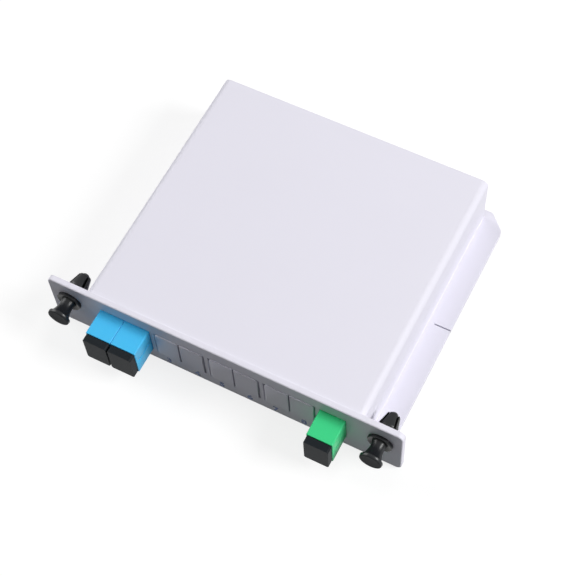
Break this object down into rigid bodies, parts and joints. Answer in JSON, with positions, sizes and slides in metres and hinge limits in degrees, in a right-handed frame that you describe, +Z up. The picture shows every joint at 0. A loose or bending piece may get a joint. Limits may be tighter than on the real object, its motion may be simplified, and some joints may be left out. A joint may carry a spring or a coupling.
{
  "type": "plc fibre splitter",
  "caption": "Flat card-insert case with guide rails, capped fibre adapters, blanked ports and push-pull latches, which divides the light of an input fibre between output fibres.",
  "frame": {"origin": "middle of the case's underside", "axes": "+X along the front panel towards the input port, +Y from the panel into the case, +Z up"},
  "size_m": [0.13, 0.1134, 0.0245],
  "materials": {
    "case_white": "fine matt white moulding, a little cool",
    "adapter_blue": "satin blue moulding",
    "adapter_green": "satin green moulding",
    "holder_white": "natural white moulding",
    "ceramic_white": "polished white zirconia",
    "cap_black": "matt black soft plastic",
    "latch_black": "satin black nylon",
    "plug_blue": "satin blue moulding",
    "plug_green": "satin green moulding",
    "boot_white": "soft white boot",
    "fibre_jacket": "yellow buffered fibre",
    "chip_steel": "brushed steel tube",
    "screw_steel": "zinc-plated steel"
  },
  "bodies": {
    "splitter_case": {"case_body": "case_white", "base_cover": "case_white", "cover_screws": "screw_steel", "port_blank_3": "case_white", "port_blank_4": "case_white", "port_blank_5": "case_white", "port_blank_6": "case_white", "port_blank_7": "case_white", "port_blank_8": "case_white", "output_1_adapter_front": "adapter_blue", "output_1_adapter_rear": "adapter_blue", "output_1_sleeve_holder_front": "holder_white", "output_1_sleeve_holder_rear": "holder_white", "output_1_split_sleeve": "ceramic_white", "output_1_plug_housing": "plug_blue", "output_1_plug_ferrule": "ceramic_white", "output_1_plug_boot": "boot_white", "output_1_pigtail": "fibre_jacket", "output_2_adapter_front": "adapter_blue", "output_2_adapter_rear": "adapter_blue", "output_2_sleeve_holder_front": "holder_white", "output_2_sleeve_holder_rear": "holder_white", "output_2_split_sleeve": "ceramic_white", "output_2_plug_housing": "plug_blue", "output_2_plug_ferrule": "ceramic_white", "output_2_plug_boot": "boot_white", "output_2_pigtail": "fibre_jacket", "input_adapter_front": "adapter_green", "input_adapter_rear": "adapter_green", "input_sleeve_holder_front": "holder_white", "input_sleeve_holder_rear": "holder_white", "input_split_sleeve": "ceramic_white", "input_plug_housing": "plug_green", "input_plug_ferrule": "ceramic_white", "input_plug_boot": "boot_white", "input_pigtail": "fibre_jacket", "splitter_chip": "chip_steel", "latch_left_grommet": "latch_black", "latch_right_grommet": "latch_black"},
    "output_1_cap": {"output_1_dust_cap": "cap_black"},
    "output_2_cap": {"output_2_dust_cap": "cap_black"},
    "input_cap": {"input_dust_cap": "cap_black"},
    "latch_left": {"latch_left_plunger": "latch_black"},
    "latch_right": {"latch_right_plunger": "latch_black"}
  },
  "joints": [
    {"name": "output_1_cap_pull", "type": "slide", "parent": "splitter_case", "child": "output_1_cap", "axis": [0, -1, 0], "range_m": [0, 0.0085]},
    {"name": "output_2_cap_pull", "type": "slide", "parent": "splitter_case", "child": "output_2_cap", "axis": [0, -1, 0], "range_m": [0, 0.0085]},
    {"name": "input_cap_pull", "type": "slide", "parent": "splitter_case", "child": "input_cap", "axis": [0, -1, 0], "range_m": [0, 0.0085]},
    {"name": "latch_left_pull", "type": "slide", "parent": "splitter_case", "child": "latch_left", "axis": [0, -1, 0], "range_m": [0, 0.0055]},
    {"name": "latch_right_pull", "type": "slide", "parent": "splitter_case", "child": "latch_right", "axis": [0, -1, 0], "range_m": [0, 0.0055]}
  ]
}
